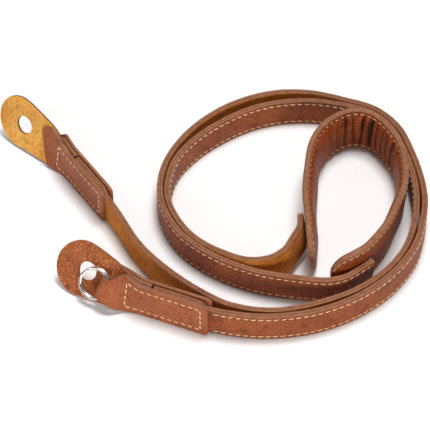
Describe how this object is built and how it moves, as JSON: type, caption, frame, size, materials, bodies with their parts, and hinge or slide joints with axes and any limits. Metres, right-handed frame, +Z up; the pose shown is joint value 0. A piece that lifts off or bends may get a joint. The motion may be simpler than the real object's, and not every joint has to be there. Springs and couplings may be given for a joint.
{
  "type": "camera neck strap",
  "caption": "Stitched leather camera strap with a padded neck section, tabbed ends, split rings and lug protectors, wound in a loose coil on its edge.",
  "frame": {"origin": "on the floor, under the middle of the whole wound strap", "axes": "+Z up, +X to the right and +Y to the back, as the picture sees it"},
  "size_m": [0.1722, 0.1222, 0.0225],
  "materials": {
    "grain_leather": "pebble-grained, semi-matt",
    "nubuck": "napped back, matt",
    "suede": "napped, matt",
    "nickel": "polished nickel plate",
    "thread": "waxed sewing thread"
  },
  "bodies": {
    "root": {"strap_a_face": "grain_leather", "strap_a_back": "nubuck", "strap_b_face": "grain_leather", "strap_b_back": "nubuck", "neck_pad": "grain_leather", "tab_a_loop": "grain_leather", "tab_a_backing": "grain_leather", "tab_b_loop": "grain_leather", "tab_b_backing": "grain_leather", "protector_a": "suede", "protector_b": "grain_leather", "split_ring_a": "nickel", "split_ring_b": "nickel"}
  },
  "joints": []
}
